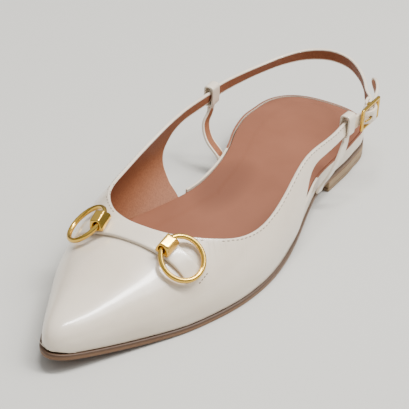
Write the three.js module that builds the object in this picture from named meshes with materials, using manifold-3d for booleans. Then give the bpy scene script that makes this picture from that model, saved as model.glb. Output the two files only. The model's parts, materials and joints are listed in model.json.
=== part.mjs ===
// A sling back flat for the left foot: pointed vamp, two wings that narrow to straps, a sling around the
// heel with a buckle on the outer side, and a band with two rings across the vamp.
// Millimetres. +X runs from heel to toe, +Y to the outer side of the foot, +Z up.
// The origin lies on the floor under the middle of the heel's rest face.
import * as THREE from 'three';
import { RoundedBoxGeometry } from 'three/addons/geometries/RoundedBoxGeometry.js';
import { mergeVertices } from 'three/addons/utils/BufferGeometryUtils.js';
import Module from 'manifold-3d';

const wasm = await Module();
wasm.setup();

// Driving dimensions of the last, measured on its feather line, where the upper meets the sole
const lastLength = 250;
const ballWidth = 78;
const instepHeight = 46;
const toeSpring = 6.5;

// Sole, heel and insole
const outsoleThickness = 2.8;
const heelBlockHeight = 3.4;
const topPieceThickness = 1.8;
const heelLength = 58;
const foreMargin = 1.0;
const seatMargin = 0.4;
const seatThickness = 6.5;
const foreInsoleThickness = 2.4;
const randWall = 1.2;
const insoleStepStart = 24;
const insoleStepEnd = 6;

// Upper and straps
const upperWall = 1.5;
const wallLift = 14;
const collarHeight = 39;
const strapWidth = 6.4;
const strapThickness = 1.4;
const tipLength = 6;
const uprightWidth = 5.6;
const uprightThickness = 1.2;
const loopLength = 6.6;
const loopWall = 1;
const loopSlack = 1.5;
const loopCorner = 0.8;

// Buckle, a frame with a middle bar
const buckleLength = 19;
const buckleHeight = 11.5;
const buckleWire = 1.7;
const buckleBar = 1.3;
const barSink = 1.3;
const prongWire = 1.1;
const foldLength = 10;

// Band, knobs and rings
const bandWidth = 8;
const bandCrown = 1.9;
const bandEdge = 0.8;
const knobLength = 9.2;
const knobSpan = 6.6;
const knobHeight = 5.4;
const knobShoulder = 2.2;
const knobTaper = 0.68;
const knobRounding = 0.5;
const eyeHeight = 2.6;
const eyeInset = 1.2;
const ringDiameter = 21.4;
const ringWire = 2.3;
const ringSides = 26;
const ringSwing = 60;

// Room between pieces that touch
const seam = 0.3;

const seatRise = topPieceThickness + heelBlockHeight + 2 * seam;
const ringRadius = (ringDiameter - ringWire) / 2;
// Degrees by which each ring drops from the band's own slope until it rests on the vamp
const ringTilt = { lateral: 20, medial: 18 };

// Half widths of the feather line, as shares of ballWidth, at shares of lastLength from the heel's back
const plan = [
  { at: 0.112, lateral: 0.365, medial: 0.365 },
  { at: 0.152, lateral: 0.374, medial: 0.373 },
  { at: 0.22, lateral: 0.372, medial: 0.333 },
  { at: 0.284, lateral: 0.374, medial: 0.265 },
  { at: 0.352, lateral: 0.417, medial: 0.228 },
  { at: 0.42, lateral: 0.468, medial: 0.237 },
  { at: 0.476, lateral: 0.504, medial: 0.303 },
  { at: 0.536, lateral: 0.528, medial: 0.395 },
  { at: 0.596, lateral: 0.531, medial: 0.459 },
  { at: 0.668, lateral: 0.505, medial: 0.49 },
  { at: 0.724, lateral: 0.455, medial: 0.468 },
  { at: 0.784, lateral: 0.387, medial: 0.421 },
  { at: 0.84, lateral: 0.295, medial: 0.341 },
  { at: 0.9, lateral: 0.195, medial: 0.247 },
  { at: 0.944, lateral: 0.121, medial: 0.177 },
  { at: 0.968, lateral: 0.08, medial: 0.138 },
];

// Widest half widths of the upper over the feather line, as shares of ballWidth, the last's crown over the
// feather line, as a share of instepHeight, and how far up its inner side tucks in, as a share of wallLift
const sections = [
  { at: 0.23, lateral: 0.5, medial: 0.455, crown: 1.62, tuck: 1 },
  { at: 0.4, lateral: 0.512, medial: 0.475, crown: 1.42, tuck: 1.5 },
  { at: 0.5, lateral: 0.535, medial: 0.505, crown: 1.2, tuck: 1.4 },
  { at: 0.6, lateral: 0.548, medial: 0.51, crown: 1.0, tuck: 1.1 },
  { at: 0.67, lateral: 0.525, medial: 0.515, crown: 0.86, tuck: 1 },
  { at: 0.705, lateral: 0.5, medial: 0.502, crown: 0.77, tuck: 1 },
  { at: 0.76, lateral: 0.442, medial: 0.46, crown: 0.64, tuck: 1 },
  { at: 0.82, lateral: 0.355, medial: 0.395, crown: 0.53, tuck: 1 },
  { at: 0.88, lateral: 0.25, medial: 0.3, crown: 0.43, tuck: 1 },
  { at: 0.944, lateral: 0.138, medial: 0.194, crown: 0.32, tuck: 1 },
  { at: 0.968, lateral: 0.094, medial: 0.152, crown: 0.28, tuck: 1 },
];

// Ribs of the upper from its lower edge to its topline, from the loop to the throat's middle: where each
// end lies along the last, and its share of the way from the feather line to the crown
const lateralRibs = [
  { foot: 0.244, rise: 0.205, top: 0.244, girth: 0.262 },
  { foot: 0.3, rise: 0.213, top: 0.296, girth: 0.268 },
  { foot: 0.345, rise: 0.23, top: 0.34, girth: 0.29 },
  { foot: 0.375, rise: 0.243, top: 0.37, girth: 0.31 },
  { foot: 0.398, rise: 0.235, top: 0.4, girth: 0.325 },
  { foot: 0.415, rise: 0.2, top: 0.425, girth: 0.33 },
  { foot: 0.43, rise: 0.14, top: 0.447, girth: 0.33 },
  { foot: 0.443, rise: 0.065, top: 0.467, girth: 0.327 },
  { foot: 0.456, rise: 0, top: 0.487, girth: 0.322 },
  { foot: 0.5, rise: 0, top: 0.52, girth: 0.316 },
  { foot: 0.56, rise: 0, top: 0.56, girth: 0.32 },
  { foot: 0.62, rise: 0, top: 0.6, girth: 0.345 },
  { foot: 0.68, rise: 0, top: 0.64, girth: 0.4 },
  { foot: 0.74, rise: 0, top: 0.672, girth: 0.485 },
  { foot: 0.79, rise: 0, top: 0.697, girth: 0.595 },
  { foot: 0.84, rise: 0, top: 0.7135, girth: 0.695 },
  { foot: 0.885, rise: 0, top: 0.7235, girth: 0.78 },
  { foot: 0.925, rise: 0, top: 0.729, girth: 0.845 },
  { foot: 0.957, rise: 0, top: 0.732, girth: 0.9 },
  { foot: 0.982, rise: 0, top: 0.7333, girth: 0.94 },
  { foot: 1, rise: 0.12, top: 0.7338, girth: 0.965 },
  { foot: 1, rise: 0.5, top: 0.734, girth: 0.985 },
  { foot: 1, rise: 1, top: 0.734, girth: 1 },
];
const medialRibs = [
  { foot: 0.263, rise: 0.18, top: 0.263, girth: 0.235 },
  { foot: 0.3, rise: 0.193, top: 0.296, girth: 0.25 },
  { foot: 0.345, rise: 0.215, top: 0.34, girth: 0.277 },
  { foot: 0.375, rise: 0.228, top: 0.37, girth: 0.297 },
  { foot: 0.402, rise: 0.222, top: 0.4, girth: 0.313 },
  { foot: 0.415, rise: 0.195, top: 0.423, girth: 0.325 },
  { foot: 0.429, rise: 0.145, top: 0.445, girth: 0.333 },
  { foot: 0.442, rise: 0.07, top: 0.466, girth: 0.34 },
  { foot: 0.456, rise: 0, top: 0.487, girth: 0.348 },
  { foot: 0.5, rise: 0, top: 0.52, girth: 0.363 },
  { foot: 0.56, rise: 0, top: 0.56, girth: 0.39 },
  { foot: 0.62, rise: 0, top: 0.6, girth: 0.42 },
  { foot: 0.68, rise: 0, top: 0.64, girth: 0.49 },
  { foot: 0.74, rise: 0, top: 0.672, girth: 0.565 },
  { foot: 0.79, rise: 0, top: 0.697, girth: 0.655 },
  { foot: 0.84, rise: 0, top: 0.7135, girth: 0.735 },
  { foot: 0.885, rise: 0, top: 0.7235, girth: 0.805 },
  { foot: 0.925, rise: 0, top: 0.729, girth: 0.865 },
  { foot: 0.957, rise: 0, top: 0.732, girth: 0.91 },
  { foot: 0.982, rise: 0, top: 0.7333, girth: 0.945 },
  { foot: 1, rise: 0.12, top: 0.7338, girth: 0.968 },
  { foot: 1, rise: 0.5, top: 0.734, girth: 0.986 },
  { foot: 1, rise: 1, top: 0.734, girth: 1 },
];

// Middle lines of the straps: shares of lastLength along, of ballWidth out and of collarHeight up. The sling
// follows the heel, so its upper edge leans in by some degrees.
const slingRoute = [
  { along: 0.225, out: -0.428, up: 0.94, lean: 8 },
  { along: 0.152, out: -0.392, up: 0.935, lean: 16 },
  { along: 0.1, out: -0.345, up: 0.945, lean: 20 },
  { along: 0.052, out: -0.272, up: 0.98, lean: 18 },
  { along: 0.018, out: -0.167, up: 1.025, lean: 14 },
  { along: -0.001, out: -0.026, up: 1.05, lean: 11 },
  { along: 0.006, out: 0.115, up: 1.045, lean: 11 },
  { along: 0.028, out: 0.22, up: 1.015, lean: 10 },
  { along: 0.064, out: 0.315, up: 0.995, lean: 8 },
  { along: 0.1, out: 0.38, up: 0.99, lean: 4 },
];
const freeEndRoute = [
  { along: 0.108, out: 0.452, up: 0.99 },
  { along: 0.08, out: 0.422, up: 0.995 },
  { along: 0.056, out: 0.38, up: 1 },
  { along: 0.035, out: 0.326, up: 1.005 },
];
const buckleAt = 0.166;
const bandAt = 0.756;
const uprightFoot = 0.296;
const knobGirth = { lateral: 0.76, medial: 0.755 };
const bandEnd = { lateral: 0.43, medial: 0.405 };

// Reads one column of a table as a smooth curve over another column
function smoothColumn(rows, name, over = 'at') {
  const x = rows.map((row, i) => (over === 'row' ? i : row[over]));
  const y = rows.map((row) => row[name]);
  const last = x.length - 1;
  const slope = x.map((_, i) => {
    const before = Math.max(i - 1, 0);
    const after = Math.min(i + 1, last);
    return (y[after] - y[before]) / (x[after] - x[before]);
  });
  return (value) => {
    let i = 0;
    while (i < last - 1 && value > x[i + 1]) i += 1;
    const span = x[i + 1] - x[i];
    const t = THREE.MathUtils.clamp((value - x[i]) / span, 0, 1);
    const t2 = t * t;
    const t3 = t2 * t;
    const start = (2 * t3 - 3 * t2 + 1) * y[i] + (t3 - 2 * t2 + t) * span * slope[i];
    const end = (3 * t2 - 2 * t3) * y[i + 1] + (t3 - t2) * span * slope[i + 1];
    return start + end;
  };
}

const planHalf = {
  lateral: smoothColumn(plan, 'lateral'),
  medial: smoothColumn(plan, 'medial'),
};
const wallHalf = {
  lateral: smoothColumn(sections, 'lateral'),
  medial: smoothColumn(sections, 'medial'),
};
const crownShare = smoothColumn(sections, 'crown');
const tuckShare = smoothColumn(sections, 'tuck');

const heelArcReach = plan[0].at * lastLength;
const toeArcStart = plan[plan.length - 1].at * lastLength;
const heelArcPower = 2.5;
const toeArcEnd = plan[plan.length - 1];
const toeShift = ((toeArcEnd.lateral - toeArcEnd.medial) / 2) * ballWidth;

// Half width of the feather line on one side, with a squarish arc at the heel and a parabola at the toe
function featherHalf(side, x) {
  if (x < heelArcReach) {
    const out = Math.pow(Math.max(1 - x / heelArcReach, 0), heelArcPower);
    return planHalf[side](plan[0].at) * ballWidth * Math.pow(Math.max(1 - out, 0), 1 / heelArcPower);
  }
  if (x <= toeArcStart) return planHalf[side](x / lastLength) * ballWidth;
  const half = ((toeArcEnd.lateral + toeArcEnd.medial) / 2) * ballWidth;
  const shrink = Math.sqrt(Math.max(1 - (x - toeArcStart) / (lastLength - toeArcStart), 0));
  return half * shrink + (side === 'lateral' ? toeShift : -toeShift);
}

// Height of the outsole's lower face: level seat on the heel, arch, flat tread, toe spring
function bottomHeight(x) {
  const archStart = heelLength;
  const treadStart = 0.6 * lastLength;
  const treadEnd = 0.74 * lastLength;
  if (x < treadStart) return seatRise * (1 - THREE.MathUtils.smoothstep(x, archStart, treadStart));
  if (x < treadEnd) return 0;
  return toeSpring * Math.pow((x - treadEnd) / (lastLength - treadEnd), 2);
}

function outsoleTop(x) {
  return bottomHeight(x) + outsoleThickness;
}

function featherHeight(x) {
  return outsoleTop(x) + seam;
}

// The insole is thick under the seat and thins out through the waist
function insoleTop(x) {
  const thinning = THREE.MathUtils.smoothstep(x, 0.36 * lastLength, 0.62 * lastLength);
  return featherHeight(x) + THREE.MathUtils.lerp(seatThickness, foreInsoleThickness, thinning);
}

// Signed half width across the last: positive on the outer side
const sideSign = { lateral: 1, medial: -1 };

// Points around the feather line, anticlockwise from the toe tip by way of the outer side, moved outwards
// by margin(x). Point k on the outer side lies across from point (count - k) on the inner side.
function outline(margin, from = 0, to = lastLength) {
  const half = 40;
  const stations = [];
  for (let i = 0; i <= half; i += 1) {
    stations.push(THREE.MathUtils.lerp(to, from, (1 - Math.cos((Math.PI * i) / half)) / 2));
  }
  const lateral = stations.map((x) => new THREE.Vector2(x, featherHalf('lateral', x)));
  const medial = stations.map((x) => new THREE.Vector2(x, -featherHalf('medial', x))).reverse();
  const loop = [...lateral, ...medial.slice(1, -1)];
  return loop.map((point, i) => {
    const before = loop[(i + loop.length - 1) % loop.length];
    const after = loop[(i + 1) % loop.length];
    const along = new THREE.Vector2().subVectors(after, before).normalize();
    return new THREE.Vector2(point.x + along.y * margin(point.x), point.y - along.x * margin(point.x));
  });
}

// A crown line that leans to the toe's side
function crownLine(x) {
  return toeShift * THREE.MathUtils.smoothstep(x, 0.7 * lastLength, lastLength);
}

// Nose of the toe: the crown comes down to the feather line in a quarter ellipse
function noseShare(x) {
  const start = 0.95 * lastLength;
  if (x < start) return 1;
  return Math.sqrt(Math.max(1 - Math.pow((x - start) / (lastLength - start), 2), 0));
}

// Outer face of the last at x, at a girth share that runs from 0 at the outer feather line by way of the
// crown at 1 to 2 at the inner feather line
function lastPoint(x, girth) {
  const side = girth <= 1 ? 'lateral' : 'medial';
  const angle = (girth <= 1 ? girth : 2 - girth) * Math.PI * 0.5;
  const fullness = 0.85;
  const foot = featherHalf(side, x);
  const wall = Math.max(wallHalf[side](x / lastLength) * ballWidth, 0);
  const end = sections[sections.length - 1];
  const toeBulge = (end[side] - toeArcEnd[side]) * ballWidth * noseShare(x);
  const wide = x > toeArcStart ? foot + toeBulge : wall;
  const rise = crownShare(x / lastLength) * instepHeight * noseShare(x);
  const height = rise * Math.pow(Math.max(Math.sin(angle), 0), fullness);
  const middle = crownLine(x) * sideSign[side];
  const spread = middle + (wide - middle) * Math.pow(Math.max(Math.cos(angle), 0), fullness);
  const reach = wallLift * (side === 'medial' ? tuckShare(x / lastLength) : 1);
  const low = Math.max(1 - height / reach, 0);
  const tuck = (wide - foot) * low * low;
  return new THREE.Vector3(x, sideSign[side] * (spread - tuck), featherHeight(x) + height);
}

// A point that stands off the last by lift, along the face's own normal
function liftedPoint(x, girth, lift) {
  const step = 0.004;
  const alongLast = lastPoint(x + 0.5, girth).sub(lastPoint(x - 0.5, girth));
  const aroundLast = lastPoint(x, girth - step).sub(lastPoint(x, girth + step));
  const normal = alongLast.cross(aroundLast).normalize();
  return lastPoint(x, girth).addScaledVector(normal, lift);
}

// Moves a grid of points along its own normals, which face the foot where the grid runs forwards and up on
// the outer side. Points that coincide share one normal.
function offsetGrid(grid, distance) {
  const rows = grid.length;
  const columns = grid[0].length;
  const shared = new Map();
  const keyOf = (p) => `${p.x.toFixed(4)},${p.y.toFixed(4)},${p.z.toFixed(4)}`;
  for (let i = 0; i < rows; i += 1) {
    for (let j = 0; j < columns; j += 1) {
      const row = (k) => grid[THREE.MathUtils.clamp(k, 0, rows - 1)];
      const column = (k) => THREE.MathUtils.clamp(k, 0, columns - 1);
      const beside = (k) => row(i + 1)[k].clone().sub(row(i - 1)[k]);
      const du = beside(j).lengthSq() > 1e-6 ? beside(j) : beside(column(j + 1));
      const dv = grid[i][column(j + 1)].clone().sub(grid[i][column(j - 1)]);
      const key = keyOf(grid[i][j]);
      if (!shared.has(key)) shared.set(key, new THREE.Vector3());
      shared.get(key).add(du.cross(dv).normalize());
    }
  }
  return grid.map((line) => line.map((p) => {
    const normal = shared.get(keyOf(p)).clone().normalize();
    return p.clone().addScaledVector(normal, distance);
  }));
}

// A closed solid between two grids of the same size. A wrapped grid joins its last row to its first.
function solidBetween(outer, inner, wrapped = false) {
  const rows = outer.length;
  const columns = outer[0].length;
  const points = [...outer.flat(), ...inner.flat()];
  const index = [];
  const id = (i, j, face) => face * rows * columns + (i % rows) * columns + j;
  const quad = (a, b, c, d) => index.push(a, b, c, a, c, d);
  const lastRow = wrapped ? rows : rows - 1;
  for (let i = 0; i < lastRow; i += 1) {
    for (let j = 0; j < columns - 1; j += 1) {
      quad(id(i, j, 0), id(i + 1, j, 0), id(i + 1, j + 1, 0), id(i, j + 1, 0));
      quad(id(i, j, 1), id(i, j + 1, 1), id(i + 1, j + 1, 1), id(i + 1, j, 1));
    }
    quad(id(i, 0, 1), id(i + 1, 0, 1), id(i + 1, 0, 0), id(i, 0, 0));
    quad(id(i, columns - 1, 0), id(i + 1, columns - 1, 0), id(i + 1, columns - 1, 1), id(i, columns - 1, 1));
  }
  if (!wrapped) {
    for (let j = 0; j < columns - 1; j += 1) {
      quad(id(0, j, 0), id(0, j + 1, 0), id(0, j + 1, 1), id(0, j, 1));
      quad(id(rows - 1, j, 1), id(rows - 1, j + 1, 1), id(rows - 1, j + 1, 0), id(rows - 1, j, 0));
    }
  }
  return closedGeometry(points, index);
}

// Merges points, drops triangles without area and turns all faces outwards
function closedGeometry(points, index) {
  const raw = new THREE.BufferGeometry().setFromPoints(points);
  raw.setIndex(index);
  const merged = mergeVertices(raw, 1e-4);
  const old = merged.index.array;
  const kept = [];
  for (let i = 0; i < old.length; i += 3) {
    const [a, b, c] = [old[i], old[i + 1], old[i + 2]];
    if (a !== b && b !== c && c !== a) kept.push(a, b, c);
  }
  const position = merged.getAttribute('position');
  const corner = (i) => new THREE.Vector3().fromBufferAttribute(position, i);
  let volume = 0;
  for (let i = 0; i < kept.length; i += 3) {
    volume += corner(kept[i]).dot(corner(kept[i + 1]).cross(corner(kept[i + 2])));
  }
  merged.setIndex(volume < 0 ? kept.reverse() : kept);
  return merged;
}

// A plate over an outline, between two height functions of x
function plate(points, lower, upper) {
  const count = points.length;
  const half = count / 2;
  const level = (height) => points.map((p) => new THREE.Vector3(p.x, p.y, height(p.x)));
  const corners = [...level(lower), ...level(upper)];
  const index = [];
  for (let i = 0; i < count; i += 1) {
    const next = (i + 1) % count;
    index.push(i, next, next + count, i, next + count, i + count);
  }
  for (let i = 0; i < half; i += 1) {
    const [a, b] = [i, i + 1];
    const [c, d] = [(count - i - 1) % count, (count - i) % count];
    index.push(a, c, b, a, d, c);
    index.push(a + count, b + count, c + count, a + count, c + count, d + count);
  }
  return closedGeometry(corners, index);
}

// A flat strap along a path: frames give its middle, its width direction and its outer normal
function strapSolid(frames, width, thickness) {
  const grid = (out) => frames.map(({ middle, across, normal, scale = 1 }) => [-0.5, 0.5].map((side) => (
    middle.clone().addScaledVector(across, side * width * scale).addScaledVector(normal, out)
  )));
  return solidBetween(grid(thickness / 2), grid(-thickness / 2));
}

// Frames along a smooth path through rows of { x, y, z }, with the strap's width kept as upright as the
// path lets it, and leaning where a row gives a lean in degrees
function framesAlong(rows, perRow) {
  const path = new THREE.CatmullRomCurve3(rows.map((row) => new THREE.Vector3(row.x, row.y, row.z)));
  const up = new THREE.Vector3(0, 0, 1);
  const count = (rows.length - 1) * perRow;
  const lean = smoothColumn(rows.map((row) => ({ lean: 0, ...row })), 'lean', 'row');
  const frames = [];
  for (let i = 0; i <= count; i += 1) {
    const tangent = path.getTangent(i / count);
    const across = up.clone().addScaledVector(tangent, -up.dot(tangent)).normalize();
    across.applyAxisAngle(tangent, THREE.MathUtils.degToRad(lean(i / perRow)));
    const normal = new THREE.Vector3().crossVectors(tangent, across).normalize();
    frames.push({ middle: path.getPoint(i / count), across, normal });
  }
  return frames;
}

// Narrows the last frames of a strap to a point
function taperTip(frames) {
  const tip = frames[frames.length - 1].middle;
  frames.forEach((frame) => {
    const left = frame.middle.distanceTo(tip);
    frame.scale = left < tipLength ? THREE.MathUtils.lerp(0.3, 1, Math.sqrt(left / tipLength)) : 1;
  });
}

// Solids for cutting and joining, and back
function toManifold(geometry) {
  const bare = geometry.clone();
  bare.deleteAttribute('normal');
  bare.deleteAttribute('uv');
  const merged = mergeVertices(bare, 1e-4);
  const vertProperties = merged.getAttribute('position').array;
  return new wasm.Manifold(new wasm.Mesh({ numProp: 3, vertProperties, triVerts: merged.index.array }));
}
function fromManifold(solid) {
  const mesh = solid.getMesh();
  const geometry = new THREE.BufferGeometry();
  geometry.setAttribute('position', new THREE.BufferAttribute(mesh.vertProperties, 3));
  geometry.setIndex(new THREE.BufferAttribute(mesh.triVerts, 1));
  return geometry;
}

// In a knob's own axes +X points out over the vamp's side, +Y up from the band and +Z along the shoe.
// The ring's wire crosses the eye along Z at eyeHeight, and tilt turns the ring down about that line.
function torusAt(tilt, wireRadius) {
  const torus = new THREE.TorusGeometry(ringRadius, wireRadius, 8, ringSides);
  torus.rotateX(Math.PI / 2).translate(ringRadius, 0, 0);
  torus.rotateZ(THREE.MathUtils.degToRad(-tilt));
  return torus.translate(-eyeInset, eyeHeight, 0);
}
function ringGeometry(tilt) {
  return fromManifold(toManifold(torusAt(tilt, ringWire / 2)));
}

// A knob: a block with a tapered cap, and an eye wide enough for the ring to swing
function knobGeometry(tilt) {
  const base = new RoundedBoxGeometry(knobSpan, knobShoulder, knobLength, 1, knobRounding);
  const capHeight = knobHeight - knobShoulder + knobRounding;
  const cap = new THREE.CylinderGeometry(knobTaper, 1, capHeight, 4).rotateY(Math.PI / 4);
  cap.scale(knobSpan * Math.SQRT1_2, 1, knobLength * Math.SQRT1_2);
  let solid = toManifold(base.translate(0, knobShoulder / 2, 0));
  solid = solid.add(toManifold(cap.translate(0, knobHeight - capHeight / 2, 0)));
  const steps = 2;
  for (let i = 0; i <= steps; i += 1) {
    const angle = tilt - (ringSwing * i) / steps;
    solid = solid.subtract(toManifold(torusAt(angle, ringWire / 2 + seam)));
  }
  return fromManifold(solid);
}

const leather = { metalness: 0, roughness: 0.28 };
const cream = 0xded6cd;
const tan = 0xac765f;
const gold = { color: 0xd9a845, metalness: 1, roughness: 0.22 };

const shoe = new THREE.Group();
shoe.position.set(-heelLength / 2, 0, 0);

function addPiece(name, geometry, material, parent = shoe) {
  const mesh = new THREE.Mesh(geometry, new THREE.MeshStandardMaterial(material));
  mesh.name = name;
  parent.add(mesh);
  return mesh;
}

// Outsole
function soleMargin(x) {
  const widening = THREE.MathUtils.smoothstep(x, 0.3 * lastLength, 0.5 * lastLength);
  return THREE.MathUtils.lerp(seatMargin, foreMargin, widening);
}
const outsole = plate(outline(soleMargin), bottomHeight, outsoleTop);
addPiece('outsole', outsole, { color: 0x9a7350, metalness: 0, roughness: 0.5 });

// Heel block and its top piece, cut off straight at the breast
function heelOutline() {
  return outline(() => seatMargin, 0, heelLength);
}
const blockBottom = topPieceThickness + seam;
const heelBlock = plate(heelOutline(), () => blockBottom, () => blockBottom + heelBlockHeight);
addPiece('heel', heelBlock, { color: 0xa58a66, metalness: 0, roughness: 0.55 });
const topPiece = plate(heelOutline(), () => 0, () => topPieceThickness);
addPiece('heel_top_piece', topPiece, { color: 0x8d7350, metalness: 0, roughness: 0.7 });

// Insole, with room for the rand around its seat and for the upper's wall in front
const wingFoot = lateralRibs.find((row) => row.rise === 0).foot * lastLength;
function insoleInset(x) {
  const underUpper = THREE.MathUtils.smoothstep(x, wingFoot - insoleStepStart, wingFoot - insoleStepEnd);
  return THREE.MathUtils.lerp(-randWall - seam, -upperWall - 3 * seam, underUpper);
}
const insole = plate(outline(insoleInset), featherHeight, insoleTop);
addPiece('insole', insole, { color: tan, metalness: 0, roughness: 0.6 });

// Rand around the seat, from wing to wing
function randSolid() {
  const steps = 40;
  const front = wingFoot - 3;
  const stations = [];
  for (let i = 0; i <= steps; i += 1) stations.push((front * (1 + Math.cos((Math.PI * i) / steps))) / 2);
  const side = (name) => stations.map((x) => new THREE.Vector2(x, sideSign[name] * featherHalf(name, x)));
  const route = [...side('lateral'), ...side('medial').reverse().slice(1)];
  const outer = route.map((p) => (
    [featherHeight(p.x), insoleTop(p.x)].map((z) => new THREE.Vector3(p.x, p.y, z))
  ));
  const inner = outer.map((line, i) => {
    const before = route[Math.max(i - 1, 0)];
    const after = route[Math.min(i + 1, route.length - 1)];
    const along = new THREE.Vector2().subVectors(after, before).normalize();
    const inward = new THREE.Vector3(-along.y, along.x, 0).multiplyScalar(randWall);
    return line.map((p) => p.clone().add(inward));
  });
  return solidBetween(outer, inner);
}
addPiece('seat_rand', randSolid(), { color: cream, ...leather });

// Upper: ribs from the outer loop around the toe to the inner loop, with points bunched up towards the sole
function upperGrid() {
  const perRib = 2;
  const steps = 10;
  const column = (rows, name) => smoothColumn(rows, name, 'row');
  const sides = [lateralRibs, medialRibs].map((rows) => ({
    foot: column(rows, 'foot'),
    rise: column(rows, 'rise'),
    top: column(rows, 'top'),
    girth: column(rows, 'girth'),
  }));
  const last = lateralRibs.length - 1;
  const rib = (side, row, mirrored) => {
    const place = sides[side];
    const foot = place.foot(row) * lastLength;
    const top = place.top(row) * lastLength;
    const line = [];
    const bunching = THREE.MathUtils.lerp(1.5, 2.2, THREE.MathUtils.smoothstep(row, 0.6 * last, 0.9 * last));
    for (let j = 0; j <= steps; j += 1) {
      const t = Math.pow(j / steps, bunching);
      const x = THREE.MathUtils.lerp(foot, top, t);
      const girth = THREE.MathUtils.clamp(THREE.MathUtils.lerp(place.rise(row), place.girth(row), t), 0, 1);
      line.push(lastPoint(Math.min(x, lastLength), mirrored ? 2 - girth : girth));
    }
    return line;
  };
  const grid = [];
  for (let i = 0; i <= last * perRib; i += 1) grid.push(rib(0, i / perRib, false));
  for (let i = last * perRib - 1; i >= 0; i -= 1) grid.push(rib(1, i / perRib, true));
  return grid;
}
const upperFace = upperGrid();
const upperLining = offsetGrid(upperFace, upperWall);
upperLining.flat().forEach((p) => {
  p.z = Math.max(p.z, featherHeight(p.x));
});
addPiece('upper', solidBetween(upperFace, upperLining), { color: cream, ...leather });

// Sling strap: around the heel to the buckle's middle bar, over it and back along its own inner side
function routePoint({ along, out, up, lean = 0 }) {
  return { x: along * lastLength, y: out * ballWidth, z: up * collarHeight, lean };
}
function strapEnd(side) {
  const rows = side === 'lateral' ? lateralRibs : medialRibs;
  const girth = (rows[0].rise + rows[0].girth) / 2;
  const x = rows[0].foot * lastLength;
  const face = lastPoint(x, side === 'lateral' ? girth : 2 - girth);
  return { x, y: face.y - (sideSign[side] * upperWall) / 2, z: face.z };
}
const buckleX = buckleAt * lastLength;
const buckleZ = collarHeight * 0.99;
const buckleY = 0.5 * ballWidth;
const barY = buckleY - barSink;
const wrap = buckleBar / 2 + seam / 2 + strapThickness / 2;
const underFrame = buckleY - buckleWire / 2 - 1.5 * seam - strapThickness / 2;
const layer = strapThickness + seam;
const endBarX = (buckleLength - buckleWire) / 2;

const medialEnd = strapEnd('medial');
const slingPath = [
  { x: medialEnd.x - 2 * seam, y: medialEnd.y, z: medialEnd.z },
  ...slingRoute.map(routePoint),
  { x: buckleX - endBarX, y: underFrame - layer, z: buckleZ },
  { x: buckleX - endBarX * 0.6, y: underFrame - layer * 0.55, z: buckleZ },
  { x: buckleX - wrap * 1.4, y: barY + wrap * 0.72, z: buckleZ },
  { x: buckleX, y: barY + wrap, z: buckleZ },
  { x: buckleX + wrap * 0.71, y: barY + wrap * 0.71, z: buckleZ },
  { x: buckleX + wrap, y: barY, z: buckleZ },
  { x: buckleX + wrap * 0.71, y: barY - wrap * 0.71, z: buckleZ },
  { x: buckleX, y: barY - wrap, z: buckleZ },
  { x: buckleX - wrap * 1.4, y: barY + wrap * 0.72 - layer * 1.25, z: buckleZ },
  { x: buckleX - endBarX * 0.6, y: underFrame - layer * 1.55, z: buckleZ },
  { x: buckleX - foldLength, y: underFrame - layer * 2.05, z: buckleZ },
];
const slingStrap = strapSolid(framesAlong(slingPath, 3), strapWidth, strapThickness);

// Buckle strap: from under the outer loop through the frame, over the bar and the fold, to its free tip
const lateralEnd = strapEnd('lateral');
const overBar = barY + wrap + layer;
const buckleStrapPath = [
  { x: lateralEnd.x - 2 * seam, y: lateralEnd.y, z: lateralEnd.z },
  { x: buckleX + endBarX + 3, y: underFrame - 0.2, z: buckleZ },
  { x: buckleX + endBarX, y: underFrame, z: buckleZ },
  { x: buckleX + endBarX * 0.6, y: (underFrame + overBar) / 2, z: buckleZ },
  { x: buckleX + endBarX * 0.25, y: overBar - 0.15, z: buckleZ },
  { x: buckleX, y: overBar, z: buckleZ },
  { x: buckleX - endBarX * 0.25, y: overBar - 0.15, z: buckleZ },
  { x: buckleX - endBarX * 0.6, y: (underFrame + overBar) / 2, z: buckleZ },
  { x: buckleX - endBarX, y: underFrame, z: buckleZ },
  ...freeEndRoute.map(routePoint),
];
const buckleStrapFrames = framesAlong(buckleStrapPath, 3);
taperTip(buckleStrapFrames);
const buckleStrap = strapSolid(buckleStrapFrames, strapWidth, strapThickness);

// Prong: bent around the bar, out through the straps' slot and forwards, with its point on the frame's end
function prongSolid(radius) {
  const hook = buckleBar / 2 + seam / 2 + prongWire / 2;
  const rest = buckleWire / 2 + seam / 2 + prongWire / 2;
  const points = [];
  for (let degrees = 130; degrees <= 350; degrees += 44) {
    const angle = THREE.MathUtils.degToRad(degrees);
    points.push([hook * Math.cos(angle), hook * Math.sin(angle) - barSink]);
  }
  points.push([0.2 * endBarX, 0], [0.35 * endBarX, 1.1 * rest], [0.5 * endBarX, 1.45 * rest]);
  points.push([0.75 * endBarX, 1.25 * rest], [endBarX, rest]);
  const middles = points.map(([x, y]) => new THREE.Vector3(x + buckleX, y + buckleY, buckleZ));
  const round = new THREE.Shape().absarc(0, 0, radius, 0, 2 * Math.PI);
  const extrudePath = new THREE.CatmullRomCurve3(middles);
  const settings = { steps: 24, curveSegments: 4, bevelEnabled: false, extrudePath };
  return toManifold(new THREE.ExtrudeGeometry(round, settings));
}
const prongRoom = prongSolid(prongWire / 2 + seam);
const slotted = (strap) => fromManifold(toManifold(strap).subtract(prongRoom));
addPiece('sling_strap', slotted(slingStrap), { color: cream, ...leather });
addPiece('buckle_strap', slotted(buckleStrap), { color: cream, ...leather });
addPiece('buckle_prong', fromManifold(prongSolid(prongWire / 2)), gold);

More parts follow.
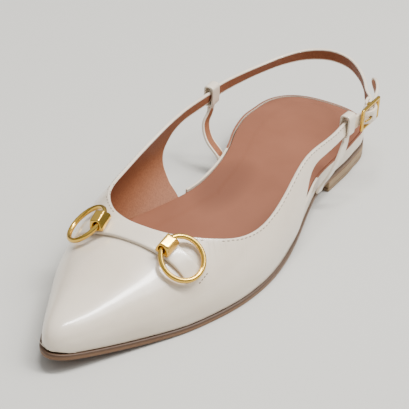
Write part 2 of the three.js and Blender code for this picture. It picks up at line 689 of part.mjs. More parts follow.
// Buckle frame with its middle bar
function buckleFrame() {
  const bar = (length, height, depth, x, z, y) => {
    const box = new RoundedBoxGeometry(length, depth, height, 1, Math.min(length, height, depth) * 0.35);
    return toManifold(box.translate(x, y, z));
  };
  const side = (buckleHeight - buckleWire) / 2;
  const parts = [
    bar(buckleWire, buckleHeight, buckleWire, endBarX, 0, 0),
    bar(buckleWire, buckleHeight, buckleWire, -endBarX, 0, 0),
    bar(buckleLength, buckleWire, buckleWire, 0, side, 0),
    bar(buckleLength, buckleWire, buckleWire, 0, -side, 0),
    bar(buckleBar * 2, buckleWire, barSink + buckleBar, 0, side, -barSink / 2),
    bar(buckleBar * 2, buckleWire, barSink + buckleBar, 0, -side, -barSink / 2),
  ];
  const pin = new THREE.CylinderGeometry(buckleBar / 2, buckleBar / 2, buckleHeight - buckleWire, 10);
  const middle = toManifold(pin.rotateX(Math.PI / 2).translate(0, -barSink, 0));
  return fromManifold(parts.reduce((whole, part) => whole.add(part), middle));
}
const frameMesh = addPiece('buckle_frame', buckleFrame(), gold);
frameMesh.position.set(buckleX, buckleY, buckleZ);

// Loops at the tops of the uprights, closed around the straps
function loopSolid(middle, along) {
  const upright = new THREE.Vector3(0, 0, 1);
  const up = upright.clone().addScaledVector(along, -along.z).normalize();
  const out = new THREE.Vector3().crossVectors(along, up);
  const tall = (strapWidth + loopSlack) / 2 + 2 * seam;
  const deep = Math.max(strapThickness, upperWall) / 2 + 3 * seam;
  const ring = (grow) => {
    const rows = [];
    const corners = 6;
    const radius = loopCorner + grow;
    for (let i = 0; i < 4 * corners; i += 1) {
      const quarter = Math.floor(i / corners);
      const angle = ((quarter + (i % corners) / (corners - 1)) * Math.PI) / 2;
      const sx = quarter === 0 || quarter === 3 ? 1 : -1;
      const sz = quarter < 2 ? 1 : -1;
      const y = sx * (deep - loopCorner) + Math.cos(angle) * radius;
      const z = sz * (tall - loopCorner) + Math.sin(angle) * radius;
      rows.push([-0.5, 0, 0.5].map((t) => middle.clone()
        .addScaledVector(out, y).addScaledVector(up, z).addScaledVector(along, t * loopLength)));
    }
    return rows;
  };
  return solidBetween(ring(loopWall), ring(0), true);
}
const loopMiddle = ({ x, y, z }) => new THREE.Vector3(x, y, z + loopSlack / 2);
const loopAlong = (side, behind) => {
  const rows = side === 'lateral' ? lateralRibs : medialRibs;
  const girth = (rows[0].rise + rows[0].girth) / 2;
  const ahead = lastPoint(rows[0].foot * lastLength + loopLength, side === 'lateral' ? girth : 2 - girth);
  ahead.y -= (sideSign[side] * upperWall) / 2;
  return ahead.sub(behind).normalize();
};
const lateralMiddle = loopMiddle(lateralEnd);
const medialMiddle = loopMiddle(medialEnd);
addPiece('loop_lateral', loopSolid(lateralMiddle, loopAlong('lateral', buckleStrapPath[1])), { color: cream, ...leather });
addPiece('loop_medial', loopSolid(medialMiddle, loopAlong('medial', slingPath[1])), { color: cream, ...leather });

// Uprights, from the foot of the rand up and back to the underside of each loop
function uprightPath(side, loop) {
  const sign = sideSign[side];
  const x = uprightFoot * lastLength;
  const widest = Math.max(featherHalf(side, x - uprightWidth / 2), featherHalf(side, x + uprightWidth / 2));
  const foot = widest + seam + uprightThickness / 2;
  const under = loop.z - (strapWidth + loopSlack) / 2 - 4 * seam - loopWall;
  const base = featherHeight(x - uprightWidth / 2);
  const height = under - base;
  const reach = Math.abs(loop.y) - foot;
  const lean = loop.x - x;
  const point = (back, out, up) => (
    { x: x + lean * back, y: sign * (foot + reach * out), z: base + height * up }
  );
  return [point(0, 0, 0), point(0.03, 0.06, 0.08), point(0.2, 0.7, 0.36), point(0.55, 1.02, 0.64),
    point(1, 1, 0.88), point(1, 1, 1)];
}
function uprightFrames(rows) {
  const path = new THREE.CatmullRomCurve3(rows.map((row) => new THREE.Vector3(row.x, row.y, row.z)));
  const count = 16;
  const frames = [];
  for (let i = 0; i <= count; i += 1) {
    const tangent = path.getTangentAt(i / count);
    const across = new THREE.Vector3(1, 0, 0).addScaledVector(tangent, -tangent.x).normalize();
    const normal = new THREE.Vector3().crossVectors(across, tangent).normalize();
    frames.push({ middle: path.getPointAt(i / count), across, normal });
  }
  return frames;
}
for (const [side, loop] of [['lateral', lateralMiddle], ['medial', medialMiddle]]) {
  const frames = uprightFrames(uprightPath(side, loop));
  const upright = strapSolid(frames, uprightWidth, uprightThickness);
  addPiece(`upright_${side}`, upright, { color: cream, ...leather });
}

// Band across the vamp: crowned between the knobs, thinner inside the rings
function bandSolid() {
  const steps = 22;
  const from = bandEnd.lateral;
  const to = 2 - bandEnd.medial;
  const profile = [
    { across: -0.5, height: 0.72 },
    { across: -0.42, height: 0.94 },
    { across: 0, height: 1 },
    { across: 0.42, height: 0.94 },
    { across: 0.5, height: 0.72 },
  ];
  const grid = (top) => {
    const rows = [];
    for (let i = 0; i <= steps; i += 1) {
      const girth = THREE.MathUtils.lerp(from, to, i / steps);
      const inside = Math.min(girth - from, to - girth);
      const full = THREE.MathUtils.smoothstep(inside, 0.03, 0.2);
      const thick = THREE.MathUtils.lerp(bandEdge, bandCrown, full);
      rows.push(profile.map(({ across, height }) => {
        const x = bandAt * lastLength + across * bandWidth;
        return liftedPoint(x, girth, seam + (top ? thick * height : 0));
      }));
    }
    return rows;
  };
  return solidBetween(grid(true), grid(false));
}
addPiece('vamp_band', bandSolid(), { color: cream, ...leather });

// Knobs and rings: each knob stands on the band, and its ring runs through the knob's eye
const ringGroups = {};
for (const side of ['lateral', 'medial']) {
  const girth = side === 'lateral' ? knobGirth.lateral : 2 - knobGirth.medial;
  const x = bandAt * lastLength;
  const seat = liftedPoint(x, girth, 2 * seam + bandCrown);
  const normal = seat.clone().sub(liftedPoint(x, girth, 0)).normalize();
  const step = side === 'lateral' ? -0.01 : 0.01;
  const outward = liftedPoint(x, girth + step, 0).sub(liftedPoint(x, girth - step, 0));
  outward.addScaledVector(normal, -outward.dot(normal)).normalize();
  const forward = new THREE.Vector3().crossVectors(outward, normal).normalize();
  const group = new THREE.Group();
  group.matrixAutoUpdate = false;
  group.matrix.makeBasis(outward, normal, forward).setPosition(seat);
  shoe.add(group);
  ringGroups[side] = group;
  addPiece(`knob_${side}`, knobGeometry(ringTilt[side]), gold, group);
  addPiece(`ring_${side}`, ringGeometry(ringTilt[side]), gold, group);
}

export default shoe;
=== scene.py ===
import json
import math
import bmesh
import bpy
from mathutils import Matrix, Vector
from mathutils.bvhtree import BVHTree
from mathutils.kdtree import KDTree


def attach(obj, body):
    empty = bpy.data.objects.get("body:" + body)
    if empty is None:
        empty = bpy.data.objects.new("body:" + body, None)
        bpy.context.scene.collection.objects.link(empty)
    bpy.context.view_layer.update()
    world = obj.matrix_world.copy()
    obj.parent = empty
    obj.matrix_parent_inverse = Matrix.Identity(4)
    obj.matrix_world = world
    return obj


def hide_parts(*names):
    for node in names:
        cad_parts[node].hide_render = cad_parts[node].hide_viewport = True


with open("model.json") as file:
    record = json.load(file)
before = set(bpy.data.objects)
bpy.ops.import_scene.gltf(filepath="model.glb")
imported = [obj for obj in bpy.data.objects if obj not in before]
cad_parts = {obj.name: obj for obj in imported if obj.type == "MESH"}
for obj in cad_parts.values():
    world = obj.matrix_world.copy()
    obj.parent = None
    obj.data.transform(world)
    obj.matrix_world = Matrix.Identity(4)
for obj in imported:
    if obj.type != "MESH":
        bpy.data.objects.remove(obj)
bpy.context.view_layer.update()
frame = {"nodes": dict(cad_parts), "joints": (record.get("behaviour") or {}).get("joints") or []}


# Camera, floor and light
# The shoe stands on a pale seamless floor under a wide soft lamp and a long narrow one, whose streak runs
# along the vamp. The camera looks down on the toe from the outer side, rolled a little.
camera_place = Vector((0.6563, 0.2895, 0.3972))
camera_aim = Vector((0.1027, 0.0011, 0.020))
camera_roll = math.radians(3.87)
camera_lens = 143.7
camera_near = 0.05
camera_data = bpy.data.cameras.new("camera")
camera_data.lens = camera_lens
camera_data.clip_start = camera_near
camera = bpy.data.objects.new("camera", camera_data)
view = (camera_aim - camera_place).normalized()
view_right = view.cross(Vector((0, 0, 1))).normalized()
level_turn = Matrix((view_right, view_right.cross(view), -view)).transposed()
camera_turn = (level_turn @ Matrix.Rotation(camera_roll, 3, "Z")).to_4x4()
camera.matrix_world = Matrix.Translation(camera_place) @ camera_turn
bpy.context.scene.collection.objects.link(camera)
bpy.context.scene.camera = camera


class Wire:
    """A value in a material's node tree. Plain arithmetic on it adds the Math nodes."""

    def __init__(self, tree, socket=None):
        self.tree = tree
        self.socket = socket

    def node(self, kind, settings=(), values=(), output=0):
        """Adds one node: first its settings, then the values or wires of its inputs."""
        node = self.tree.nodes.new(kind)
        for name, setting in dict(settings).items():
            setattr(node, name, setting)
        for name, value in dict(values).items():
            if isinstance(value, Wire):
                self.tree.links.new(value.socket, node.inputs[name])
            else:
                node.inputs[name].default_value = value
        return Wire(self.tree, node.outputs[output])

    def math(self, operation, *values):
        return self.node("ShaderNodeMath", {"operation": operation}, enumerate(values))

    def __add__(self, other):
        return self.math("ADD", self, other)

    def __radd__(self, other):
        return self.math("ADD", other, self)

    def __sub__(self, other):
        return self.math("SUBTRACT", self, other)

    def __rsub__(self, other):
        return self.math("SUBTRACT", other, self)

    def __mul__(self, other):
        return self.math("MULTIPLY", self, other)

    def __rmul__(self, other):
        return self.math("MULTIPLY", other, self)

    def step(self, low, high):
        """0 below low, 1 above high, and a soft ramp between."""
        ends = {"From Min": low, "From Max": high, "Value": self}
        return self.node("ShaderNodeMapRange", {"interpolation_type": "SMOOTHSTEP"}, ends)

    def blend(self, first, second):
        """A colour that goes from first to second as this value goes from 0 to 1."""
        first, second = (tint if isinstance(tint, Wire) else (*tint, 1) for tint in (first, second))
        colour_inputs = {0: self, 6: first, 7: second}
        return self.node("ShaderNodeMix", {"data_type": "RGBA"}, colour_inputs, output=2)


def new_finish(name, **constants):
    """A material with its constants on the shader. Returns it, a first wire and a way to feed sockets."""
    material = bpy.data.materials.new(name)
    material.use_nodes = True
    tree = material.node_tree
    shader = tree.nodes["Principled BSDF"]
    for socket, value in constants.items():
        shader.inputs[socket.replace("_", " ")].default_value = value

    def feed(socket, wire):
        tree.links.new(wire.socket, shader.inputs[socket.replace("_", " ")])

    return material, Wire(tree), feed


def place_on_object(wire):
    """Each point's place on the shoe, in metres."""
    return wire.node("ShaderNodeTexCoord", output=3)


def noise(wire, scale, detail=2.0, roughness=0.5, stretch=None):
    """A noise of a given number of patches per metre, longer along an axis where stretch is small."""
    place = place_on_object(wire)
    if stretch:
        place = wire.node("ShaderNodeMapping", {}, {"Vector": place, "Scale": stretch})
    values = {"Vector": place, "Scale": scale, "Detail": detail, "Roughness": roughness}
    return wire.node("ShaderNodeTexNoise", {}, values)


floor_size = 5.0
floor_tint = (0.545, 0.53, 0.485)
floor_shade = [0.97 * part for part in floor_tint]
floor_shape = bmesh.new()
bmesh.ops.create_grid(floor_shape, x_segments=1, y_segments=1, size=floor_size / 2)
floor_mesh = bpy.data.meshes.new("floor")
floor_shape.to_mesh(floor_mesh)
floor_shape.free()
floor = bpy.data.objects.new("floor", floor_mesh)
bpy.context.scene.collection.objects.link(floor)
floor_finish, floor_wire, floor_feed = new_finish("floor_paper", Roughness=0.9)
floor_feed("Base_Color", noise(floor_wire, scale=3).blend(floor_tint, floor_shade))
floor_mesh.materials.append(floor_finish)

sky_tint = (0.95, 0.97, 1.0)
sky_low_strength = 0.2
sky_rise = 0.62
world = bpy.data.worlds.new("studio")
world.use_nodes = True
sky = Wire(world.node_tree)
background = world.node_tree.nodes["Background"]
background.inputs["Color"].default_value = (*sky_tint, 1)
sky_height = sky.node("ShaderNodeSeparateXYZ", {}, {"Vector": sky.node("ShaderNodeTexCoord")}, output=2)
sky_strength = sky_height.step(low=0.0, high=0.75) * sky_rise + sky_low_strength
world.node_tree.links.new(sky_strength.socket, background.inputs["Strength"])
bpy.context.scene.world = world


def lamp(name, place, aim, size, power):
    """A flat soft lamp of a given width and length that faces its aim."""
    data = bpy.data.lights.new(name, "AREA")
    data.shape = "RECTANGLE"
    data.size, data.size_y = size
    data.energy = power
    light = bpy.data.objects.new(name, data)
    light.location = place
    light.rotation_euler = (Vector(aim) - Vector(place)).to_track_quat("-Z", "Y").to_euler()
    bpy.context.scene.collection.objects.link(light)


lamp("wide_lamp", place=(-0.5, 0.9, 1.5), aim=(0.1, 0, 0), size=(1.2, 1.0), power=27)
lamp("streak_lamp", place=(0.0, 0.26, 1.3), aim=(0.15, 0, 0), size=(0.15, 1.0), power=27)


# Outsole
# A brown leather board cut to the last's outline, thin and flexible. Its side is trimmed, rounded and
# stained, and it is cemented under the insole and the upper's turned-in edge. Its top face is painted dark,
# a painted shadow under the upper's edge.
outsole_edge_round = 0.0005
outsole_dark = (0.135, 0.066, 0.030)
outsole_light = (0.21, 0.108, 0.052)
# The dark tint on the board's top, and how strongly it shows: a painted shadow under the upper's edge.
sole_top_shadow_tint = (0.035, 0.018, 0.01)
sole_top_shadow_strength = 0.7
facing_up = 0.7


def attribute(wire, name):
    return wire.node("ShaderNodeAttribute", {"attribute_name": name}, output=2)


def bump(wire, height, distance, strength=1.0):
    return wire.node("ShaderNodeBump", {}, {"Height": height, "Distance": distance, "Strength": strength})


outsole_finish, wire, feed = new_finish("outsole_leather", Roughness=0.5, Specular_IOR_Level=0.4)
fibre = noise(wire, scale=260, detail=4, roughness=0.6, stretch=(0.35, 1, 3))
# Painted shadow: the board's upward faces are darkened where the upper overhangs them.
sole_top_shadow = attribute(wire, "board_top").step(low=0.45, high=0.9) * sole_top_shadow_strength
feed("Base_Color", sole_top_shadow.blend(fibre.blend(outsole_dark, outsole_light), sole_top_shadow_tint))
feed("Normal", bump(wire, fibre, distance=0.0002))

weld_distance = 2e-6
join_bend = math.radians(35)
join_skew = math.radians(60)


def welded_copy(node):
    """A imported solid's loose triangles, merged into one closed shape."""
    shape = bmesh.new()
    shape.from_mesh(frame["nodes"][node].data)
    bmesh.ops.remove_doubles(shape, verts=shape.verts, dist=weld_distance)
    return shape


def merged_copy(node):
    """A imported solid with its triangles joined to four-sided faces where they can be."""
    shape = welded_copy(node)
    bmesh.ops.join_triangles(shape, faces=shape.faces, angle_face_threshold=join_bend,
                             angle_shape_threshold=join_skew)
    shape.normal_update()
    return shape


def is_sharp(edge, turn):
    """Whether the surface turns at an edge by more than some degrees."""
    return len(edge.link_faces) == 2 and edge.calc_face_angle() > math.radians(turn)


def round_edges(shape, width, turn=40, segments=2, leave=()):
    """Takes the sharpness off every edge that turns by more than some degrees, apart from some edges."""
    sharp = [edge for edge in shape.edges if is_sharp(edge, turn) and edge not in leave]
    bmesh.ops.bevel(shape, geom=sharp, offset=width, offset_type="OFFSET", segments=segments,
                    profile=0.5, affect="EDGES", clamp_overlap=False, material=-1)


def new_piece(name, shape, finishes, nodes, body="shoe", levels=0):
    """Makes an object of a shape, smooths it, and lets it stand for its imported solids."""
    mesh = bpy.data.meshes.new(name)
    shape.to_mesh(mesh)
    shape.free()
    mesh.shade_smooth()
    for finish in finishes:
        mesh.materials.append(finish)
    piece = bpy.data.objects.new(name, mesh)
    bpy.context.scene.collection.objects.link(piece)
    if levels:
        smoothing = piece.modifiers.new("smoothing", "SUBSURF")
        smoothing.levels = smoothing.render_levels = levels
    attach(piece, body)
    if nodes:
        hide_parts(*nodes)
    return piece


outsole = merged_copy("outsole")
# Marks the board's upward faces, which carry the painted shadow.
board_top = outsole.verts.layers.float.new("board_top")
for face in outsole.faces:
    if face.normal.z > facing_up:
        for vert in face.verts:
            vert[board_top] = 1.0
round_edges(outsole, outsole_edge_round)
new_piece("outsole_board", outsole, [outsole_finish], ["outsole"], levels=1)


# Heel and top piece
# The low heel is a block of stacked board, its layers showing as fine lines on the side, and the top piece
# under it is a hard rubber sheet that takes the wear. Both are trimmed flush with the outsole.
heel_edge_round = 0.0004
heel_layers_per_metre = 900
heel_dark = (0.27, 0.175, 0.09)
heel_light = (0.33, 0.225, 0.125)
rubber_dark = (0.20, 0.13, 0.07)
rubber_light = (0.28, 0.19, 0.11)
heel_finish, wire, feed = new_finish("heel_stack", Roughness=0.55, Specular_IOR_Level=0.35)
layers = noise(wire, heel_layers_per_metre, detail=3, stretch=(0.02, 0.02, 1))
feed("Base_Color", layers.blend(heel_dark, heel_light))
feed("Normal", bump(wire, layers, distance=0.0001))
rubber_finish, wire, feed = new_finish("top_piece_rubber", Roughness=0.75)
feed("Base_Color", noise(wire, scale=400, detail=3).blend(rubber_dark, rubber_light))
feed("Normal", bump(wire, noise(wire, scale=1500), distance=0.0001))
heel = merged_copy("heel")
round_edges(heel, heel_edge_round)
new_piece("heel_block", heel, [heel_finish], ["heel"], levels=1)
top_piece = merged_copy("heel_top_piece")
round_edges(top_piece, heel_edge_round)
new_piece("heel_top_sheet", top_piece, [rubber_finish], ["heel_top_piece"], levels=1)


# Insole
# A padded board covered with smooth brown leather, glued down from heel to toe. Its edge is rolled, the
# pad's border shows as a faint ridge, and a darker oval at the waist is painted shade.
sock_edge_round = 0.0007
sock_light = (0.232, 0.087, 0.047)
sock_shade = (0.20, 0.073, 0.039)
# A soft oval of painted shade where the sock's waist lies in shadow.
waist_shadow_tint = (0.145, 0.052, 0.028)
waist_shadow_strength = 0.75
waist_shadow_place = (0.070, -0.006)
waist_shadow_size = (0.022, 0.012)
ridge_inset = 0.006
ridge_front = 0.165
sock_finish, wire, feed = new_finish("sock_leather", Roughness=0.52, Specular_IOR_Level=0.25)
mottle = noise(wire, scale=28, detail=3, roughness=0.55)
from_waist_shadow = mottle * 0.5
for axis in (0, 1):
    place = wire.node("ShaderNodeSeparateXYZ", {}, {"Vector": place_on_object(wire)}, output=axis)
    away = (place - waist_shadow_place[axis]) * (1 / waist_shadow_size[axis])
    from_waist_shadow = from_waist_shadow + away * away
# How much painted shade falls on each point of the waist's oval.
in_waist_shadow = from_waist_shadow.step(low=1.7, high=0.3) * waist_shadow_strength
sock_tint = mottle.step(low=0.3, high=0.75).blend(sock_light, sock_shade)
feed("Base_Color", in_waist_shadow.blend(sock_tint, waist_shadow_tint))
ridge = attribute(wire, "sock_depth").step(low=0.84, high=0.98)
grain = noise(wire, scale=1900, roughness=0.6)
dents = noise(wire, scale=45)
feed("Normal", bump(wire, ridge * 0.35 + grain * 0.08 + dents * 0.9, distance=0.0008, strength=0.6))
insole = merged_copy("insole")
sock_depth = insole.verts.layers.float.new("sock_depth")
sock_face = [face for face in insole.faces
             if face.normal.z > facing_up and face.calc_center_median().x < ridge_front]
bmesh.ops.inset_region(insole, faces=sock_face, thickness=ridge_inset, use_boundary=True,
                       use_even_offset=True)
for face in sock_face:
    for vert in face.verts:
        vert[sock_depth] = 1.0
round_edges(insole, sock_edge_round)
new_piece("insole_sock", insole, [sock_finish], ["insole"], levels=2)


# Seat rand
# A strip of the upper's cream leather, glued around the seat's side from wing to wing, flush with the
# heel below. Behind the uprights, the sock's brown leather covers its top edge.
cream_tint = (0.745, 0.645, 0.515)
cream_shade = (0.69, 0.585, 0.455)
crease_width = 0.0006
crease_depth = 0.35
flex_creases = [
    ((0.1462, 0.0265, 0.032), (0.1492, 0.0291, 0.0282)),
    ((0.1442, 0.0279, 0.032), (0.1468, 0.0305, 0.0282)),
    ((0.142, 0.0296, 0.0316), (0.1436, 0.0313, 0.0292)),
    ((0.1396, 0.0308, 0.0316), (0.141, 0.0321, 0.0297)),
    ((0.13, 0.035, 0.03), (0.134, 0.039, 0.021)),
    ((0.12, 0.0365, 0.028), (0.123, 0.04, 0.02)),
]
cream_finish, wire, feed = new_finish("cream_patent", Roughness=0.3, Specular_IOR_Level=0.5,
                                      Coat_Weight=0.85, Coat_Roughness=0.12)
cream_mottle = noise(wire, scale=35, detail=3)
feed("Base_Color", cream_mottle.step(low=0.3, high=0.7).blend(cream_tint, cream_shade))


def vector_math(wire, operation, values, output=0):
    return wire.node("ShaderNodeVectorMath", {"operation": operation}, values, output)


def crease(wire, start, end):
    """1 on a line from one place through another, as far as the leather follows it, and 0 beside."""
    span = Vector(end) - Vector(start)
    offset = vector_math(wire, "SUBTRACT", {0: place_on_object(wire), 1: start})
    share = vector_math(wire, "DOT_PRODUCT", {0: offset, 1: span / span.length_squared}, output=1)
    nearest = vector_math(wire, "SCALE", {0: span, "Scale": wire.math("MAXIMUM", share, 0)})
    away = vector_math(wire, "DISTANCE", {0: offset, 1: nearest}, output=1)
    return 1 - away.step(low=0, high=crease_width)


creases = sum(crease(wire, start, end) for start, end in flex_creases)
waves = noise(wire, scale=90)
cream_grain = noise(wire, scale=1200)
cream_height = waves + cream_grain * 0.04 - creases * crease_depth
feed("Normal", bump(wire, cream_height, distance=0.0006, strength=0.45))

rand_edge_round = 0.00025
sock_over_rand = 0.045
rand_top_facing = 0.8
rand = merged_copy("seat_rand")
round_edges(rand, rand_edge_round)
for face in rand.faces:
    covered = face.normal.z > rand_top_facing and face.calc_center_median().x < sock_over_rand
    face.material_index = 1 if covered else 0
new_piece("seat_rand_strip", rand, [cream_finish, sock_finish], ["seat_rand"], levels=1)


# Upper
# One piece of cream patent leather, lasted over a pointed form and lined with brown leather. The topline
# is folded over and sewn close to the edge, and each wing narrows to a strap behind its cut-out.
upper_edge_round = 0.00035
skin_turn = 42
lining_share = 0.2
lower_rim_height = 0.0006
lining_foot_height = 0.004
topline_facing = 0.25
core_front = 0.15
core_height = 0.008
rim_parts = 4
lining_light = (0.28, 0.105, 0.045)
lining_dark = (0.21, 0.072, 0.031)
lining_finish, wire, feed = new_finish("lining_leather", Roughness=0.6, Specular_IOR_Level=0.3)
pores = noise(wire, scale=1500, detail=3, roughness=0.65)
inside_rim = attribute(wire, "lining_depth").step(low=0.0005, high=0.0008)
lining_tint = pores.step(low=0.3, high=0.7).blend(lining_light, lining_dark)
feed("Base_Color", inside_rim.blend(cream_tint, lining_tint))
feed("Roughness", inside_rim * 0.3 + 0.3)
feed("Normal", bump(wire, pores, distance=0.0002, strength=0.6))


def area(faces):
    return sum(face.calc_area() for face in faces)


def skins(shape):
    """Groups of faces that run on without a sharp edge between them."""
    left = set(shape.faces)
    groups = []
    while left:
        group = [left.pop()]
        for face in group:
            for edge in face.edges:
                if is_sharp(edge, skin_turn):
                    continue
                for beside in edge.link_faces:
                    if beside in left:
                        left.remove(beside)
                        group.append(beside)
        groups.append(group)
    return groups


def outwardness(group):
    """How much a group of faces looks away from the shoe's middle line, from -1 to 1."""
    total = 0.0
    for face in group:
        middle = face.calc_center_median()
        core = Vector((min(max(middle.x, 0.0), core_front), 0.0, core_height))
        total += face.calc_area() * face.normal.dot((middle - core).normalized())
    return total / area(group)


def line_with_leather(shape):
    """Gives the large skins that look inwards the second finish, the lining."""
    least = lining_share * area(shape.faces)
    for group in skins(shape):
        lined = area(group) > least and outwardness(group) < 0
        for face in group:
            face.material_index = 1 if lined else 0


def measure_lining(shape, held=None):
    """Notes at each corner of a lined skin how far it lies from the skin's edges that aren't held."""
    depth = shape.verts.layers.float.new("lining_depth")
    rims = [edge for edge in shape.edges
            if len({face.material_index for face in edge.link_faces}) == 2
            and (held is None or edge[held] < 0.5)]
    points = [edge.verts[0].co.lerp(edge.verts[1].co, part / rim_parts)
              for edge in rims for part in range(rim_parts + 1)]
    tree = KDTree(len(points))
    for i, point in enumerate(points):
        tree.insert(point, i)
    tree.balance()
    for face in shape.faces:
        if face.material_index == 1:
            for vert in face.verts:
                vert[depth] = tree.find(vert.co)[2]


def split_across(shape, longest=0.003, cuts=7):
    """Adds points across a strap's lined skin, so that its painted rim can end between them."""
    across = [edge for edge in shape.edges
              if edge.calc_length() > longest and all(face.material_index == 1 for face in edge.link_faces)]
    bmesh.ops.subdivide_edges(shape, edges=across, cuts=cuts, use_grid_fill=True)


def topline(shape):
    """Points along the upper's top edge, in order from the outer strap to the inner one."""
    groups = sorted(skins(shape), key=area, reverse=True)
    outer = set(next(group for group in groups[:2] if outwardness(group) > 0))
    edges = []
    for edge in shape.edges:
        rims = [face for face in edge.link_faces if face not in outer]
        if len(edge.link_faces) == 2 and len(rims) == 1 and rims[0].normal.z > topline_facing:
            edges.append(edge)
    beside = {}
    for edge in edges:
        for vert in edge.verts:
            beside.setdefault(vert, []).append(edge.other_vert(vert))
    here = max((vert for vert in beside if len(beside[vert]) == 1), key=lambda vert: vert.co.y)
    path = [here]
    while True:
        onward = [vert for vert in beside[path[-1]] if vert not in path[-3:]]
        if not onward:
            return [vert.co.copy() for vert in path]
        path.append(onward[0])


def even_points(path, step):
    """Points at even distances along a line of points."""
    points = [path[0].copy()]
    left = step
    for start, end in zip(path, path[1:]):
        span = (end - start).length
        while left <= span:
            points.append(start.lerp(end, left / span))
            left += step
        left -= span
    return points


def stitches(name, path, surface, inset, length, gap, thread, finish):
    """Short rounded stitches along a path, set in from it over a surface and half sunk into the leather."""
    shape = bmesh.new()
    points = even_points(path, length + gap)
    for before, after in zip(points, points[1:]):
        middle = before.lerp(after, 0.5)
        along = (after - before).normalized()
        _, normal, _, _ = surface.find_nearest(middle)
        inward = normal.cross(along)
        if inward.z > 0:
            inward.negate()
        near, normal, _, _ = surface.find_nearest(middle + inward * inset)
        side = normal.cross(along).normalized()
        turn = Matrix((along, side, normal)).transposed().to_4x4()
        size = Matrix.Diagonal((length / 2, thread / 2, thread / 2, 1))
        bmesh.ops.create_uvsphere(shape, u_segments=8, v_segments=6, radius=1,
                                  matrix=Matrix.Translation(near) @ turn @ size)
    new_piece(name, shape, [finish], [])


upper = merged_copy("upper")
held = upper.edges.layers.float.new("crease_edge")
line_with_leather(upper)
upper_top = topline(upper)
board_shape = merged_copy("outsole")
board = BVHTree.FromBMesh(board_shape)
board_shape.free()
under = [edge for edge in upper.edges
         if max(board.find_nearest(vert.co)[3] for vert in edge.verts) < lower_rim_height]
for edge in under:
    edge[held] = 1.0
for face in upper.faces:
    above_board = board.find_nearest(face.calc_center_median())[3]
    if above_board < lining_foot_height and outwardness([face]) < 0:
        face.material_index = 1
round_edges(upper, upper_edge_round, skin_turn, leave=set(under))
measure_lining(upper, held)
upper_piece = new_piece("upper_leather", upper, [cream_finish, lining_finish], ["upper"],
                        levels=2)
upper_surface = BVHTree.FromObject(upper_piece, bpy.context.evaluated_depsgraph_get())

# The topline's thread, and a short row beside the outer ring
thread_light = (0.26, 0.20, 0.14)
thread_shade = (0.18, 0.135, 0.09)
anchor_dark = (0.12, 0.075, 0.045)
anchor_light = (0.20, 0.13, 0.08)
anchor_row = [Vector((0.1535, 0.0315, 0.0230)), Vector((0.1602, 0.0305, 0.0199))]
thread_finish, wire, feed = new_finish("cream_thread", Roughness=0.6)
feed("Base_Color", noise(wire, scale=900).blend(thread_light, thread_shade))
stitches("topline_stitches", upper_top, upper_surface, inset=0.0012, length=0.0016, gap=0.0008,
         thread=0.00042, finish=thread_finish)
dark_thread_finish, wire, feed = new_finish("brown_thread", Roughness=0.6)
feed("Base_Color", noise(wire, scale=900).blend(anchor_dark, anchor_light))
stitches("anchor_stitches", anchor_row, upper_surface, inset=0, length=0.0011, gap=0.0006,
         thread=0.00045, finish=dark_thread_finish)


# Sling strap and buckle strap
# Narrow straps of the same leather, folded double with brown leather inside. The sling runs around the
# heel, over the buckle's bar and back on itself; the buckle strap ends in a trimmed point.
strap_edge_round = 0.00022
for strap_node in ("sling_strap", "buckle_strap"):
    strap = merged_copy(strap_node)
    line_with_leather(strap)
    split_across(strap)
    round_edges(strap, strap_edge_round)
    measure_lining(strap)
    new_piece(f"{strap_node}_leather", strap, [cream_finish, lining_finish], [strap_node])


# Uprights and loops
# On each side a thin strap rises from under the sock and ends in a loop, sewn shut around the strap that
# passes through it. Its inner side is brown and its cut edges are painted cream.
upright_edge_round = 0.0002
loop_edge_round = 0.0003
for side in ("lateral", "medial"):
    upright_strap = merged_copy(f"upright_{side}")
    line_with_leather(upright_strap)
    split_across(upright_strap)
    round_edges(upright_strap, upright_edge_round)
    measure_lining(upright_strap)
    new_piece(f"upright_{side}_leather", upright_strap, [cream_finish, lining_finish],
              [f"upright_{side}"], levels=1)
    loop = merged_copy(f"loop_{side}")
    round_edges(loop, loop_edge_round)
    new_piece(f"loop_{side}_leather", loop, [cream_finish], [f"loop_{side}"], levels=1)


# Vamp band
# A padded strip of cream leather, folded to its width and laid across the vamp. It carries the knobs, and
# its ends thin out and are sewn down inside the rings.
band_edge_round = 0.0003
band = merged_copy("vamp_band")
round_edges(band, band_edge_round)
new_piece("vamp_band_leather", band, [cream_finish], ["vamp_band"], levels=2)


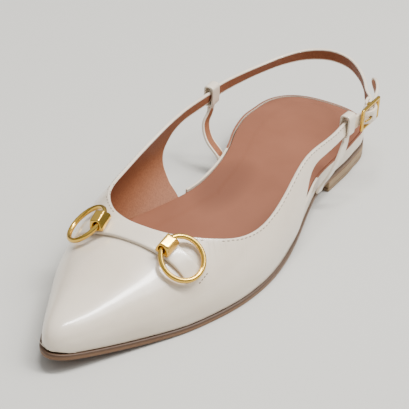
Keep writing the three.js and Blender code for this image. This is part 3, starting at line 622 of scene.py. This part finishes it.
# Knobs and rings
# Cast and polished in light gold. Each knob is a block with a tapered cap that stands on the band, and its
# eye holds a round wire ring that swings freely.
gold_dark = (0.64, 0.385, 0.06)
gold_light = (0.76, 0.49, 0.10)
gold_finish, wire, feed = new_finish("light_gold", Metallic=1.0)
feed("Base_Color", noise(wire, scale=60).blend(gold_dark, gold_light))
feed("Roughness", noise(wire, scale=300, detail=3).step(low=0.2, high=0.8) * 0.08 + 0.12)
cast_voxel = 0.00018
cast_smoothing = 12
knob_smoothing = 75


def cast_piece(name, node, smoothing=cast_smoothing):
    """A rounded, polished casting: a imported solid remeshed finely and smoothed."""
    piece = new_piece(name, welded_copy(node), [gold_finish], [node])
    remesh = piece.modifiers.new("remesh", "REMESH")
    remesh.mode = "VOXEL"
    remesh.voxel_size = cast_voxel
    remesh.use_smooth_shade = True
    polish = piece.modifiers.new("polish", "SMOOTH")
    polish.iterations = smoothing


for side in ("lateral", "medial"):
    cast_piece(f"knob_{side}_cast", f"knob_{side}", knob_smoothing)

ring_wire = 0.0023
ring_sides = 20
ring_steps = 72
for side in ("lateral", "medial"):
    joint = next(joint for joint in frame["joints"] if joint["child"] == f"ring_{side}")
    eye = Vector(joint["pos_m"])
    swing = Vector(joint["axis"])
    corners = [vert.co for vert in frame["nodes"][f"ring_{side}"].data.vertices]
    centre = sum(corners, Vector()) / len(corners)
    ring_axis = swing.cross(centre - eye).normalized()
    section = Matrix((ring_axis, (eye - centre).normalized(), swing)).transposed().to_4x4()
    ring = bmesh.new()
    bmesh.ops.create_circle(ring, segments=ring_sides, radius=ring_wire / 2,
                            matrix=Matrix.Translation(eye) @ section)
    bmesh.ops.spin(ring, geom=ring.verts[:] + ring.edges[:], cent=centre, axis=ring_axis,
                   angle=2 * math.pi, steps=ring_steps, use_merge=True)
    bmesh.ops.remove_doubles(ring, verts=ring.verts, dist=weld_distance)
    bmesh.ops.recalc_face_normals(ring, faces=ring.faces)
    new_piece(f"ring_{side}_wire", ring, [gold_finish], [f"ring_{side}"], body=f"ring_{side}")


# Buckle
# A small cast frame with a middle bar, which carries the sling's fold and the prong. The prong passes
# through the buckle strap's hole and rests on the frame's front end.
cast_piece("buckle_frame_cast", "buckle_frame")
cast_piece("buckle_prong_cast", "buckle_prong")
